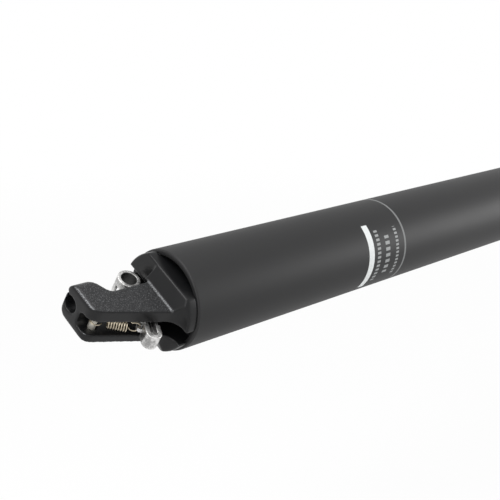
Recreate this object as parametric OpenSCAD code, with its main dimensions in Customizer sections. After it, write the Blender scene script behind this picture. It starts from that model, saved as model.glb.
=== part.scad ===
// Dropper seatpost with a cable-pulled actuator at its foot.
// The post lies along X: foot at -X, saddle clamp at +X, Z up, drawn fully extended.
// The origin is on the axis at the minimum insertion line. Sizes are in millimetres.

/* [Outer tube] */
// Outside diameter, which the bicycle's seat tube clamps
tube_d = 31.6; // [30.4:0.1:34.9]
// Wall of the outer tube
tube_wall = 1.8; // [1.6:0.1:2.2]
// Radius of the tube's rounded lower rim
tube_round = 0.7; // [0.5:0.1:1.2]
// Distance of the minimum insertion line from the lower rim
insert_min = 103; // [90:1:160]
// Length of the threaded neck inside the collar
neck_len = 12; // [9:1:16]
// Depth that the neck is turned down
neck_step = 0.6; // [0.4:0.1:0.9]

/* [Travel] */
// How far the saddle drops
travel = 170; // [120:5:200]
// Length of stanchion that stays inside the outer tube when the post is up
guided_len = 72; // [66:1:110]
// Gap between the stanchion and the foot when the post is down
drop_clear = 8; // [7:0.5:14]
// Gap between the saddle head and the wiper when the post is down
head_clear = 2; // [1:0.5:6]

/* [Stanchion] */
// Room between the two tubes for the bushings and guide keys
slide_gap = 1; // [0.9:0.1:1.5]
// Wall of the sliding tube
post_wall = 1.6; // [1.5:0.1:2]
// Length of the lower slide bushing
lower_bush_len = 14; // [10:1:16]
// Depth of the lower bushing's seat in the stanchion
bush_seat = 0.3; // [0.2:0.05:0.4]
// Length of the upper slide bushing
upper_bush_len = 30; // [20:1:34]
// Diameter of a guide key
key_d = 2.4; // [2:0.1:2.6]
// Length of a guide key
key_len = 14; // [10:1:16]
// Number of guide keys
key_count = 3; // [2:1:4]

/* [Collar] */
// How far the seal collar stands out from the outer tube
collar_proud = 3.2; // [2.2:0.1:5.2]
// Length of the seal collar
collar_len = 26; // [24:1:34]
// Thickness of the collar's inner lip
collar_lip = 5; // [4:0.5:6]
// Radius of a grip scallop
scallop_r = 3; // [2:0.5:4]
// Depth of a grip scallop
scallop_depth = 0.8; // [0.5:0.1:1.2]
// Number of grip scallops
scallop_count = 12; // [8:1:16]
// Height of the wiper's lip above the collar
wiper_lip = 2; // [1.5:0.1:3]

/* [Actuator foot] */
// Turn of the foot about the post's axis
foot_roll = 33; // [0:0.5:90]
// How far the flange stands out of the tube
flange_len = 3.4; // [3:0.1:4]
// Distance from the axis to a spanner flat
flat_n = 11.3; // [11:0.1:12]
// Depth of a spanner flat inside the tube
flat_depth = 8; // [4:0.5:10]
// Depth of the foot's plug in the tube
plug_len = 14; // [12:0.5:18]
// Distance from the tube's rim to the front of the foot's head
foot_len = 29.3; // [29:0.1:31]
// Half thickness of the foot across its two arms
arm_half = 6.5; // [6.2:0.1:6.9]
// Width of the gap that holds the lever
gap_w = 5.6; // [5.6:0.1:5.8]
// Middle of that gap beside the post's axis
gap_mid = -0.8; // [-0.9:0.1:-0.5]
// Depth of the gap below the tube's rim
pocket_depth = 2.5; // [2:0.1:4]
// Far side of the arms between head and flange
waist_y = 3.6; // [3.4:0.1:4.2]
// Far side of the head
head_y = 10.8; // [10.7:0.1:11.2]
// Far side of the gap in the head
gap_y = 3; // [2.6:0.1:3.2]
// Near side of the arms at the head
near_head_y = 1.7; // [1.5:0.1:2]
// Near side of the arms at the flange
near_root_y = 9; // [8.6:0.1:9.2]

/* [Cable] */
// Diameter of the socket for the cable housing
housing_d = 5.2; // [4.8:0.1:5.3]
// Depth of the housing socket
housing_depth = 7.6; // [6:0.1:8]
// Distance of the cable from the axis
cable_y = 7.7; // [7.5:0.1:7.8]
// Diameter of the hole for the bare cable
cable_d = 2.2; // [1.6:0.1:2.6]
// Width of the slit that the cable is laid in through
slit_w = 1.2; // [1:0.1:1.6]
// Diameter of the eye for the cable's end barrel
barrel_d = 4.9; // [4.5:0.1:5.1]

/* [Lever] */
// Thickness of the lever
lever_t = 5; // [4.8:0.1:5]
// Diameter of the pivot pin
pivot_d = 2.8; // [2.4:0.1:3]
// Radius of the lever round its pivot
lever_eye_r = 2.9; // [2.6:0.1:3]
// Radius of the boss round the cable eye
lever_boss_r = 3.6; // [3.5:0.1:3.8]
// Height of that boss
lever_boss_t = 6.4; // [6:0.1:6.8]
// Width of the lever's near arm
lever_arm_w = 4; // [3.6:0.1:4.2]
// Radius of the block at the near arm's end
lever_tip_r = 2.5; // [2.3:0.1:2.6]
// Radius of the nose that pushes the valve pin
nose_r = 1.8; // [1.6:0.1:2]
// Radius of the ear that the spring hooks into
ear_r = 1.4; // [1.3:0.1:1.6]
// Thickness of that ear
ear_t = 1.2; // [1:0.1:1.4]
// Diameter of the spring's hole in the ear
ear_hole_d = 1.1; // [1:0.05:1.2]
// Width of the groove in the near arm's block
groove_w = 2; // [1.6:0.1:2.2]
// Depth of that groove
groove_depth = 2; // [1.4:0.1:2.2]

/* [Return spring] */
// Diameter of the spring wire
wire_d = 0.4; // [0.36:0.01:0.44]
// Outside diameter of the coil
coil_d = 4; // [3.8:0.1:4.2]
// Number of turns in the coil
coil_turns = 7; // [6:1:7]
// Radius of the loop on the anchor, to the middle of the wire
loop_r = 1.9; // [1.8:0.05:2]
// Radius of the loop in the lever's ear, to the middle of the wire
ear_loop_r = 1.7; // [1.65:0.05:1.8]
// Diameter of the anchor pin
anchor_d = 2.4; // [2.2:0.1:2.6]

/* [Cartridge] */
// Depth of the piston between the cartridge tube and the rod
piston_wall = 3; // [2.5:0.1:3.5]
// Diameter of the valve pin inside the rod
valve_d = 3.2; // [2.6:0.1:3.6]
// Diameter of the valve's head
valve_head_d = 6; // [5:0.1:6.4]
// Thickness of the valve's head
valve_head_t = 2; // [1.5:0.1:3]
// Wall of the cartridge tube
cart_wall = 1.5; // [1.2:0.1:1.8]
// Thickness of the ring that centres the cartridge in the stanchion
guide_t = 1.9; // [1.5:0.1:2.2]
// Thickness of a cap's flange
cap_flange = 4; // [3:0.5:5]
// Length of a cap inside the cartridge tube
cap_plug = 12; // [10:0.5:14]
// Diameter of the stud on the top cap
stud_d = 8; // [6:0.5:9]
// Length of the stud on the top cap
stud_len = 14; // [10:0.5:16]
// Length of the piston
piston_len = 12; // [10:0.5:16]
// Thickness of the bumper under the piston
bumper_t = 5; // [3:0.5:7]
// Wall of the rod's lock nut at its flats
rod_nut_wall = 2.5; // [2:0.25:3]
// Thickness of the rod's lock nut
rod_nut_t = 5; // [4:0.5:6]
// Section of the cartridge's seal rings
seal_d = 1.8; // [1.5:0.1:2]
// Thickness of the snap ring
snap_t = 1.4; // [1:0.1:1.6]

/* [Saddle clamp] */
// Length of the head's spigot inside the stanchion
spigot_len = 22; // [18:1:28]
// Distance from the stanchion's end to the clamp bolt
head_rise = 22; // [21:0.5:28]
// Outside diameter of the head's cross barrel
barrel_od = 34; // [32:0.5:36]
// Width of the head's cross barrel
barrel_w = 30; // [29:0.5:32]
// Diameter of the cross bore that the inner jaws turn in
cross_bore_d = 24; // [22:0.5:25]
// Diameter of a saddle rail
rail_d = 7; // [6.8:0.1:7.2]
// Distance between the two saddle rails
rail_gap = 44; // [43:0.5:46]
// Height of the rails above the clamp bolt
rail_rise = 12.5; // [12:0.5:15]
// Length of rail that a jaw grips
jaw_len = 36; // [30:1:42]
// Thickness of an outer jaw
outer_jaw_t = 8; // [7.5:0.5:10]
// Diameter of the clamp bolt
bolt_d = 8; // [6:0.5:8]
// Diameter of the bolt's head
bolt_head_d = 13; // [12:0.5:13]
// Height of the bolt's head
bolt_head_t = 8; // [6:0.5:8]
// Width across the flats of the clamp nut
clamp_nut_af = 12; // [11:0.5:12]
// Thickness of a clamp washer
washer_t = 1.2; // [1:0.1:1.6]

/* [Fits] */
// Radial clearance of pieces that slide or turn
run_fit = 0.05; // [0.03:0.01:0.08]
// Radial clearance of pieces that are fixed together
snug_fit = 0.02; // [0.01:0.01:0.04]
// Gap between faces of moving pieces
face_gap = 0.3; // [0.2:0.05:0.5]

/* [Hidden] */
$fn = 96;
cut = 1;                 // how far a cutting shape runs past a face

black = [0.06, 0.06, 0.065];
cast_black = [0.09, 0.09, 0.095];
silver = [0.78, 0.79, 0.8];
steel = [0.6, 0.61, 0.62];
brass = [0.72, 0.58, 0.28];
rubber = [0.03, 0.03, 0.03];
bush_grey = [0.3, 0.31, 0.3];

// Radii along the post
tube_r = tube_d / 2;
tube_ir = tube_r - tube_wall;
neck_r = tube_r - neck_step;
collar_r = tube_r + collar_proud;
wiper_r = collar_r - 3;
post_r = tube_ir - slide_gap;
post_ir = post_r - post_wall;
cart_r = post_ir - guide_t;
cart_ir = cart_r - cart_wall;
rod_r = cart_ir - piston_wall;
valve_r = valve_d / 2;
plug_r = tube_ir - run_fit;

// Stations along the post
rim_x = -insert_min;
plug_x = rim_x + plug_len;
post_x = plug_x + drop_clear + travel;
collar_x = post_x + guided_len;
neck_x = collar_x + neck_len;
lip_x = neck_x + collar_lip;
collar_end = collar_x + collar_len;
wiper_end = collar_end + wiper_lip;
head_x = wiper_end + travel + head_clear;
clamp_x = head_x + head_rise;
upper_bush_x = neck_x - upper_bush_len;

// Lower end of the stanchion
snap_x = post_x + 2.6;
cart_x = snap_x + snap_t;
bush_x = post_x + 2;
key_x = bush_x + lower_bush_len + 4;
key_axis_r = (tube_ir + post_r) / 2 + 0.1;
snap_depth = 0.5;

// Cartridge
cart_tube_x = cart_x + cap_flange;
cap_end_x = cart_tube_x + cap_plug;
cart_end = head_x - spigot_len;
top_flange_x = cart_end - cap_flange;
bumper_x = cap_end_x + face_gap;
piston_x = bumper_x + bumper_t;
rod_end = piston_x + piston_len;
seal_groove = 2 * seal_d / 3;

// Foot, in its own frame: x along the post from the rim, y to the far side, z across the lever
front_x = -foot_len;
gap_half = gap_w / 2;
flange_r = tube_r - 0.6;
near_dx = 22.5;
near_slope = (near_root_y - near_head_y) / near_dx;
near_x = -7;
near_angle = atan(near_slope);
front_round = 4;
far_round = 0.8;
edge_round = 1.4;
upper_round = 3.6;
lower_round = 4.2;
shoulder_in = 4.3;
shoulder_x = front_x + shoulder_in;
shoulder_r = 2;
waist_r = 2.5;
waist_angle = 60;
root_fillet = 5;
gap_in = 8.8;
gap_end_x = front_x + gap_in;
web_reach = 2.9;
web_past = 1.6;
slit_turn = 40;
pin_inset = 0.2;
pin_slack = 0.1;
pin_cover = 1.6;
pin_top = arm_half - pin_cover;

// Lever
lever_half = lever_t / 2;
pivot_p = [-6.8, 2.2];
boss_p = [-7.6, 9.4];
tip_p = [-12.2, -10.8];
nose_p = [-flange_len - face_gap - nose_r, 0];
ear_p = [-13.25, -6.45];
groove_p = pivot_p + (tip_p - pivot_p) * 0.45;
block_p = pivot_p + (tip_p - pivot_p) * 0.8;
pivot_r = pivot_d / 2;
lever_neck_w = 2 * lever_eye_r - 0.4;
ear_bite = 1;
valve_x = nose_p[0] + nose_r + run_fit;

// Return spring, in its own frame: first along the coil, second to the far side, third across the lever
anchor_in = 4.3;
anchor_p = [front_x + anchor_in, 0.7];
anchor_r = anchor_d / 2;
ear_hole_r = ear_hole_d / 2;
ear_slack = 0.1;
wire_r = wire_d / 2;
spring_reach = norm(ear_p - anchor_p);
spring_turn = atan2(ear_p[1] - anchor_p[1], ear_p[0] - anchor_p[0]);
coil_r = coil_d / 2 - wire_r;
loop_a = loop_r - wire_r - anchor_r - run_fit;
loop_b = spring_reach - ear_slack - ear_loop_r;
coil_lead = 35;
loop_lead = 1.1;
ear_loop_lead = 0.6;
bend_len = 0.9;
coil_x0 = loop_a + loop_r + loop_lead;
coil_x1 = loop_b - ear_loop_r - ear_loop_lead;
coil_sweep = 360 * coil_turns + 90 - 2 * coil_lead;
bend_pull = 0.6;
hook_angle = 230;
ear_hook_turn = 130;
ear_hook_angle = 290;
ear_end_turn = ear_hook_turn - ear_hook_angle;
curl_rings = 8;
loop_rings = 24;
wire_sides = 6;

// Saddle clamp
barrel_r = barrel_od / 2;
cross_r = cross_bore_d / 2;
rail_r = rail_d / 2;
rail_y = rail_gap / 2;
bolt_r = bolt_d / 2;
bolt_hole_r = bolt_r + 0.25;
jaw_inner_y = barrel_w / 2 + face_gap;
jaw_split = 0.2;
jaw_root_y = 1.5;
jaw_outer_y = rail_y + jaw_split + outer_jaw_t;
jaw_disc_r = 14.5;
rail_lip = 3.6;
seat_depth = 4;
seat_r = bolt_head_d / 2 + 0.5;
seat_y = jaw_outer_y - seat_depth;

// Place a shape that is drawn along Z on the post's axis, from x onwards
module along_x(x) translate([x, 0, 0]) rotate([0, 90, 0]) children();

// Place a shape that is drawn along Z on the clamp bolt's axis
module along_y(y) translate([clamp_x, y, 0]) rotate([-90, 0, 0]) children();

// Turned piece about the post's axis, from points of radius and station
module turned(points) rotate([0, 90, 0]) rotate_extrude() polygon(points);

// Plain ring about the post's axis
module ring(x0, x1, r_out, r_in) turned([[r_in, x0], [r_out, x0], [r_out, x1], [r_in, x1]]);

// Round seal ring about the post's axis
module seal_ring(x, r, section) along_x(x) rotate_extrude() translate([r, 0]) circle(d = section, $fn = 32);

// Bore along the post's axis
module bore(x0, x1, r) along_x(x0) cylinder(h = x1 - x0, r = r);

// Hexagon about the post's axis
module hex_x(x0, x1, af) along_x(x0) cylinder(h = x1 - x0, d = af / cos(30), $fn = 6);

// Everything on the foot is drawn in the foot's own frame
module in_foot() translate([rim_x, 0, 0]) rotate([foot_roll, 0, 0]) children();

// The lever and its spring lie in the middle of the gap
module in_gap() in_foot() translate([0, 0, gap_mid]) children();

// Pin or hole across the lever at a plan point
module cross_pin(p, z0, z1, r) translate([p[0], p[1], z0]) cylinder(h = z1 - z0, r = r);

// Points on an arc
function arc(c, r, a0, a1, n = 8) =
    [for (i = [0:n]) let (a = a0 + (a1 - a0) * i / n) c + r * [cos(a), sin(a)]];

// Near edge of the arms at a distance from the rim
function near_edge(x) = -near_root_y - (x - near_x) * near_slope;

// Centre of an arc of radius r that runs into the near edge, r > 0 inside the arms
function edge_centre(x, r) = [x, near_edge(x) + r / cos(near_angle)];

// Plan of the arms, seen across the lever
module arm_plan() {
    root_c = edge_centre(-flange_len - root_fillet, -root_fillet);
    front_c = edge_centre(front_x + front_round, front_round);
    waist_drop = head_y - waist_y - (shoulder_r + waist_r) * (1 - cos(waist_angle));
    waist_x = shoulder_x + (shoulder_r + waist_r) * sin(waist_angle) + waist_drop / tan(waist_angle);
    polygon(concat(
        [[-cut, root_c[1]]],
        arc(root_c, root_fillet, 0, 90 - near_angle),
        arc(front_c, front_round, -90 - near_angle, -180),
        arc([front_x + far_round, head_y - far_round], far_round, 180, 90),
        arc([shoulder_x, head_y - shoulder_r], shoulder_r, 90, 90 - waist_angle),
        arc([waist_x, waist_y + waist_r], waist_r, 270 - waist_angle, 270),
        [[-cut, waist_y]]));
}

// Side view of the arms, rounded at the front
module arm_side() {
    mid = front_x + edge_round;
    polygon(concat(
        [[0, -arm_half], [0, arm_half]],
        arc([mid, arm_half - edge_round], edge_round, 90, 180),
        arc([mid, edge_round - arm_half], edge_round, 180, 270)));
}

// End view of the arms, rounded at the far side of the head
module arm_end() {
    polygon(concat(
        [[-tube_r, arm_half], [-tube_r, -arm_half]],
        arc([head_y - lower_round, lower_round - arm_half], lower_round, -90, 0),
        arc([head_y - upper_round, arm_half - upper_round], upper_round, 0, 90)));
}

// End view of the gap inside the head
module gap_end() {
    round_r = 1.6;
    polygon(concat(
        [[-tube_r, gap_half], [-tube_r, -gap_half]],
        arc([gap_y - round_r, round_r - gap_half], round_r, -90, 0),
        arc([gap_y - round_r, gap_half - round_r], round_r, 0, 90)));
}

// Side view of the webs between the arms and the flange
module web_side() {
    low = arm_half - 0.3;
    polygon([[-flange_len - web_reach, low], [-flange_len, flat_n], [-cut, flat_n], [-cut, low]]);
}

// Plan of the webs, which reach past the arms on the far side
module web_plan() {
    arm_plan();
    translate([-2 * foot_len / 3, 0]) square([2 * foot_len / 3 - cut, waist_y + web_past]);
}

// Extrude a side view across the foot, from y0 to y1
module across(y0, y1) translate([0, y1, 0]) rotate([90, 0, 0]) linear_extrude(height = y1 - y0) children();

// Extrude an end view along the foot, from x0 to x1
module lengthwise(x0, x1)
    translate([x0, 0, 0]) rotate([90, 0, 90]) linear_extrude(height = x1 - x0) children();

// Slab between the two spanner flats
module flat_slab(x0, x1) translate([x0, -tube_r, -flat_n]) cube([x1 - x0, 2 * tube_r, 2 * flat_n]);

module foot_body() {
    edge = 0.3;
    intersection() {
        turned([[0, -flange_len], [flange_r - edge, -flange_len], [flange_r, -flange_len + edge],
                [flange_r, 0], [plug_r, 0], [plug_r, flat_depth], [0, flat_depth]]);
        flat_slab(-flange_len - cut, flat_depth + cut);
    }
    ring(flat_depth, plug_len, plug_r, 0);
    intersection() {
        linear_extrude(height = 2 * tube_r, center = true) arm_plan();
        across(-tube_r, tube_r) arm_side();
        lengthwise(front_x - cut, cut) arm_end();
        bore(front_x - cut, cut, flange_r - edge);
    }
    intersection() {
        linear_extrude(height = 2 * tube_r, center = true) web_plan();
        union() for (side = [0, 1]) mirror([0, 0, side]) across(-tube_r, tube_r) web_side();
        bore(front_x, 0, flange_r - edge);
    }
}

module foot_cuts() {
    housing_end = front_x + housing_depth;
    translate([0, 0, gap_mid]) {
        lengthwise(front_x - cut, gap_end_x + cut) gap_end();
        translate([gap_end_x, -tube_r, -gap_half]) cube([pocket_depth - gap_end_x, 2 * tube_r, gap_w]);
    }
    bore(pocket_depth - face_gap, plug_len + cut, rod_r + snug_fit);
    translate([0, cable_y, 0]) {
        bore(front_x - cut, housing_end, housing_d / 2);
        bore(front_x, gap_end_x + cut, cable_d / 2);
        rotate([slit_turn, 0, 0]) translate([front_x - cut, 0, -slit_w / 2])
            cube([gap_end_x - front_x + 2 * cut, tube_r, slit_w]);
    }
    cross_pin(pivot_p, -tube_r, pin_top, pivot_r + snug_fit);
    cross_pin(anchor_p, -tube_r, pin_top, anchor_r + snug_fit);
}

module outer_tube() {
    inner_bevel = 0.4;
    color(black) difference() {
        turned(concat(
            [[tube_ir, rim_x + inner_bevel], [tube_ir + inner_bevel, rim_x]],
            arc([tube_r - tube_round, rim_x + tube_round], tube_round, -90, 0, 6),
            [[tube_r, collar_x], [neck_r, collar_x], [neck_r, neck_x], [tube_ir, neck_x]]));
        for (i = [0:key_count - 1]) rotate([360 * i / key_count, 0, 0]) translate([0, 0, key_axis_r])
            bore(plug_x + 2, upper_bush_x - 1, key_d / 2 + run_fit);
    }
}

module actuator_foot() {
    color(cast_black) in_foot() difference() {
        foot_body();
        foot_cuts();
    }
}

module lever_pivot_pin() {
    color(steel) in_foot()
        cross_pin(pivot_p, pin_inset - arm_half, pin_top - pin_slack, pivot_r);
}

module spring_anchor_pin() {
    color(steel) in_foot()
        cross_pin(anchor_p, pin_inset - arm_half, pin_top - pin_slack, anchor_r);
}

// Straight bar of the lever between two plan points
module bar(a, b, w, t = lever_t) {
    n = [a[1] - b[1], b[0] - a[0]] / norm(b - a) * w / 2;
    linear_extrude(height = t, center = true) polygon([a + n, b + n, b - n, a - n]);
}

// Round lobe of the lever at a plan point
module lobe(p, r, t = lever_t) translate(p) cylinder(h = t, r = r, center = true);

module lever_body() {
    lobe(boss_p, lever_boss_r, lever_boss_t);
    lobe(pivot_p, lever_eye_r);
    lobe(nose_p, nose_r);
    lobe(tip_p, lever_tip_r);
    lobe(ear_p, ear_r, ear_t);
    bar(boss_p, pivot_p, lever_neck_w);
    bar(pivot_p, tip_p, lever_arm_w);
    bar(block_p, tip_p, 2 * lever_tip_r);
    bar(ear_p, [tip_p[0] + ear_bite, ear_p[1]], 2 * ear_r, ear_t);
}

module actuator_lever() {
    color(silver) in_gap() difference() {
        lever_body();
        cross_pin(pivot_p, -lever_t, lever_t, pivot_r + run_fit);
        cross_pin(boss_p, -lever_t, lever_t, barrel_d / 2);
        cross_pin(ear_p, -lever_t, lever_t, ear_hole_r);
        translate([boss_p[0] - 2 * lever_boss_r, boss_p[1] - slit_w * 2 / 3, slit_w / 2 - lever_t])
            cube([2 * lever_boss_r, slit_w * 4 / 3, lever_t]);
        translate([0, 0, lever_half]) {
            lobe(tip_p, groove_w / 2, 2 * groove_depth);
            bar(groove_p, tip_p, groove_w, 2 * groove_depth);
        }
    }
}

// Middle of the wire: loop round the anchor, coil, loop that stands across the lever's ear
function loop_point(x, a) = [x + loop_r * cos(a), loop_r * sin(a), 0];
function ear_loop_point(a) = [loop_b + ear_loop_r * cos(a), 0, ear_loop_r * sin(a)];
function ear_loop_heading(a) = [sin(a), 0, -cos(a)];
function coil_point(t) = let (a = coil_lead + coil_sweep * t)
    [coil_x0 + (coil_x1 - coil_x0) * t, coil_r * cos(a), coil_r * sin(a)];
function coil_heading(t) = let (a = coil_lead + coil_sweep * t, v = [(coil_x1 - coil_x0) / coil_sweep
    * 180 / PI, -coil_r * sin(a), coil_r * cos(a)]) v / norm(v);
function bend(a, ta, b, tb, n = 5) = let (c = a + bend_pull * ta, d = b - bend_pull * tb)
    [for (i = [1:n - 1]) let (s = i / n, q = 1 - s)
        q * q * q * a + 3 * q * q * s * c + 3 * q * s * s * d + s * s * s * b];
hook_steps = ceil(loop_rings * hook_angle / 360);
coil_steps = round(curl_rings * coil_sweep / 360);
along = [1, 0, 0];
bend_a = [coil_x0 - bend_len, loop_r, 0];
hook_a = [for (i = [0:hook_steps]) loop_point(loop_a, 90 + hook_angle * (1 - i / hook_steps))];
hook_b = [for (i = [0:hook_steps]) ear_loop_point(ear_hook_turn - ear_hook_angle * i / hook_steps)];
coil_path = [for (i = [0:coil_steps]) coil_point(i / coil_steps)];
end_a = hook_a[0] + wire_d * unit([-sin(90 + hook_angle), cos(90 + hook_angle), 0]);
end_b = hook_b[hook_steps] + wire_d * ear_loop_heading(ear_end_turn);
wire_path = concat([end_a], hook_a, [bend_a], bend(bend_a, along, coil_point(0), coil_heading(0)),
    coil_path, bend(coil_point(1), coil_heading(1), hook_b[0], ear_loop_heading(ear_hook_turn)),
    hook_b, [end_b]);
function unit(v) = v / norm(v);

// Frame carried along the wire without twist, and the tube's rings
wire_n = len(wire_path);
wire_t = [for (i = [0:wire_n - 1])
    unit(wire_path[min(i + 1, wire_n - 1)] - wire_path[max(i - 1, 0)])];
function carried(v, t) = unit(v - (v * t) * t);
wire_u = [for (i = 0, v = carried([0, 0, 1], wire_t[0]); i < wire_n;
    i = i + 1, v = i < wire_n ? carried(v, wire_t[i]) : v) v];
wire_points = [for (i = [0:wire_n - 1], k = [0:wire_sides - 1])
    let (a = 360 * k / wire_sides, w = cross(wire_t[i], wire_u[i]))
        wire_path[i] + wire_r * (cos(a) * wire_u[i] + sin(a) * w)];
function ring_id(i, k) = i * wire_sides + k % wire_sides;
wire_faces = concat(
    [for (i = [0:wire_n - 2], k = [0:wire_sides - 1], half = [0, 1]) half == 0
        ? [ring_id(i, k), ring_id(i + 1, k), ring_id(i, k + 1)]
        : [ring_id(i, k + 1), ring_id(i + 1, k), ring_id(i + 1, k + 1)]],
    [for (k = [1:wire_sides - 2]) [ring_id(0, 0), ring_id(0, k), ring_id(0, k + 1)]],
    [for (k = [1:wire_sides - 2])
        [ring_id(wire_n - 1, 0), ring_id(wire_n - 1, k + 1), ring_id(wire_n - 1, k)]]);

// Least gap of the wire to itself, over points that lie further apart along it than half a turn
self_gap = min([for (i = [0:wire_n - 1], j = [i + curl_rings / 2:1:wire_n - 1])
    norm(wire_path[i] - wire_path[j])]) - wire_d;

module return_spring() {
    echo(spring_least_gap = self_gap);
    color(brass) in_gap() translate([anchor_p[0], anchor_p[1], 0]) rotate([0, 0, spring_turn])
        polyhedron(points = wire_points, faces = wire_faces, convexity = 10);
}

module valve_pin() {
    color(steel) {
        bore(rim_x + valve_x, rod_end + run_fit, valve_r);
        bore(rod_end + run_fit, rod_end + run_fit + valve_head_t, valve_head_d / 2);
    }
}

module cartridge_rod() {
    color(silver) ring(rim_x + pocket_depth, rod_end, rod_r, valve_r + run_fit);
}

module rod_lock_nut() {
    color(steel) difference() {
        hex_x(plug_x, plug_x + rod_nut_t, 2 * (rod_r + rod_nut_wall));
        bore(plug_x - cut, plug_x + rod_nut_t + cut, rod_r + snug_fit);
    }
}

module piston() {
    mid = piston_x + piston_len / 2;
    r = cart_ir - run_fit;
    color(silver) difference() {
        ring(piston_x, rod_end, r, rod_r + snug_fit);
        ring(mid - seal_groove, mid + seal_groove, r + cut, r - seal_d - 0.1);
    }
}

module piston_seal() {
    color(rubber) seal_ring(piston_x + piston_len / 2, cart_ir - run_fit - seal_d / 2, seal_d);
}

module topout_bumper() {
    color(rubber) ring(bumper_x, piston_x, cart_ir - 1, rod_r + snug_fit);
}

module upper_bushing() {
    color(bush_grey) ring(upper_bush_x, neck_x, tube_ir - snug_fit, post_r + run_fit);
}

module seal_collar() {
    r = collar_r;
    taper = 2;
    taper_len = 4;
    crown = 1.5;
    crown_len = 3;
    grip_end = collar_end - 5;
    color(black) difference() {
        turned([[neck_r + snug_fit, collar_x], [r - taper, collar_x], [r, collar_x + taper_len],
                [r, collar_end - crown_len], [r - crown, collar_end], [wiper_r, collar_end], [wiper_r, lip_x],
                [post_r + face_gap, lip_x], [post_r + face_gap, neck_x + seal_d],
                [neck_r + snug_fit, neck_x + seal_d]]);
        for (i = [0:scallop_count - 1]) rotate([360 * i / scallop_count, 0, 0])
            translate([0, 0, r + scallop_r - scallop_depth])
                bore(collar_x - cut, grip_end, scallop_r);
    }
}

module collar_seal_ring() {
    color(rubber) seal_ring(neck_x + seal_d / 2, neck_r + snug_fit - seal_d / 2, seal_d - 0.1);
}

module wiper_seal() {
    r = wiper_r - snug_fit;
    in = post_r + run_fit;
    color(rubber) turned([[in, lip_x], [r, lip_x], [r, collar_end], [r - 0.8, collar_end + 0.4],
        [in + 1.2, collar_end + 0.6], [in + 0.5, wiper_end], [in, wiper_end]]);
}

module stanchion() {
    color(black) difference() {
        ring(post_x, head_x, post_r, post_ir);
        ring(bush_x, bush_x + lower_bush_len, post_r + cut, post_r - bush_seat);
        ring(snap_x - run_fit, cart_x + run_fit, post_ir + snap_depth, post_ir - cut);
        for (i = [0:key_count - 1]) rotate([360 * i / key_count, 0, 0]) translate([0, 0, key_axis_r])
            bore(key_x - snug_fit, key_x + key_len + snug_fit, key_d / 2 + snug_fit);
    }
}

module lower_bushing() {
    color(bush_grey) ring(bush_x + snug_fit, bush_x + lower_bush_len - snug_fit,
        tube_ir - run_fit, post_r - bush_seat + snug_fit);
}

module guide_keys() {
    color(brass) for (i = [0:key_count - 1]) rotate([360 * i / key_count, 0, 0])
        translate([0, 0, key_axis_r]) bore(key_x, key_x + key_len, key_d / 2);
}

module cartridge_tube() {
    color(silver) ring(cart_tube_x, top_flange_x, cart_r, cart_ir);
}

module cartridge_top_cap() {
    r = cart_ir - snug_fit;
    color(silver) {
        bore(top_flange_x - cap_plug, top_flange_x, r);
        bore(top_flange_x, cart_end, cart_r);
        bore(cart_end, cart_end + stud_len, stud_d / 2);
    }
}

module cartridge_end_cap() {
    mid = cart_tube_x + cap_plug / 2;
    r = rod_r + run_fit;
    color(steel) difference() {
        union() {
            bore(cart_x, cart_tube_x, cart_r);
            bore(cart_tube_x, cap_end_x, cart_ir - snug_fit);
        }
        bore(cart_x - cut, cap_end_x + cut, r);
        ring(mid - seal_groove, mid + seal_groove, r + seal_d + 0.1, r - cut);
    }
}

module rod_seal() {
    color(rubber) seal_ring(cart_tube_x + cap_plug / 2, rod_r + run_fit + seal_d / 2, seal_d);
}

module cartridge_guide() {
    color(bush_grey) ring(cart_x, cart_tube_x, post_ir - snug_fit, cart_r + snug_fit);
}

module retaining_ring() {
    opening = 5;
    color(steel) difference() {
        ring(snap_x, cart_x, post_ir + snap_depth - snug_fit, post_ir - guide_t + 0.4);
        translate([snap_x - cut, -opening / 2, 0]) cube([snap_t + 2 * cut, opening, post_r]);
    }
}

module saddle_head() {
    spigot_x = head_x - spigot_len;
    shoulder_r = post_r + 0.8;
    color(black) difference() {
        union() {
            bore(spigot_x, head_x + cut, post_ir - snug_fit);
            turned([[0, head_x], [shoulder_r - 0.6, head_x], [shoulder_r, head_x + 0.6],
                    [shoulder_r, clamp_x], [0, clamp_x]]);
            along_y(-barrel_w / 2) cylinder(h = barrel_w, r = barrel_r);
        }
        along_y(-barrel_w) cylinder(h = 2 * barrel_w, r = cross_r);
        bore(spigot_x - cut, spigot_x + stud_len + 1, stud_d / 2 + snug_fit);
    }
}

// Side view of a jaw, drawn about the clamp bolt: first across the rails, second along them
module jaw_plan(disc_r) {
    top = rail_rise + rail_r + rail_lip;
    base = rail_rise - rail_r - rail_lip;
    corner = 2.5;
    circle(r = disc_r);
    polygon(concat(
        arc([top - corner, jaw_len / 2 - corner], corner, 0, 90),
        arc([base + corner, jaw_len / 2 - corner], corner, 90, 150),
        arc([base + corner, corner - jaw_len / 2], corner, 210, 270),
        arc([top - corner, corner - jaw_len / 2], corner, 270, 360)));
}

// Stand a jaw's side view up from y0 to y1
module jaw_slab(y0, y1, disc_r) translate([clamp_x, y1, 0]) rotate([90, 0, 0])
    linear_extrude(height = y1 - y0) jaw_plan(disc_r);

// Saddle rail's channel
module rail_cut() translate([clamp_x + rail_rise, rail_y, -jaw_len])
    cylinder(h = 2 * jaw_len, r = rail_r);

module inner_jaw() {
    color(black) difference() {
        union() {
            along_y(jaw_root_y) cylinder(h = jaw_inner_y - jaw_root_y, r = cross_r - run_fit);
            jaw_slab(jaw_inner_y, rail_y - jaw_split, jaw_disc_r);
        }
        along_y(0) cylinder(h = 2 * rail_y, r = bolt_hole_r);
        rail_cut();
    }
}

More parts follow.
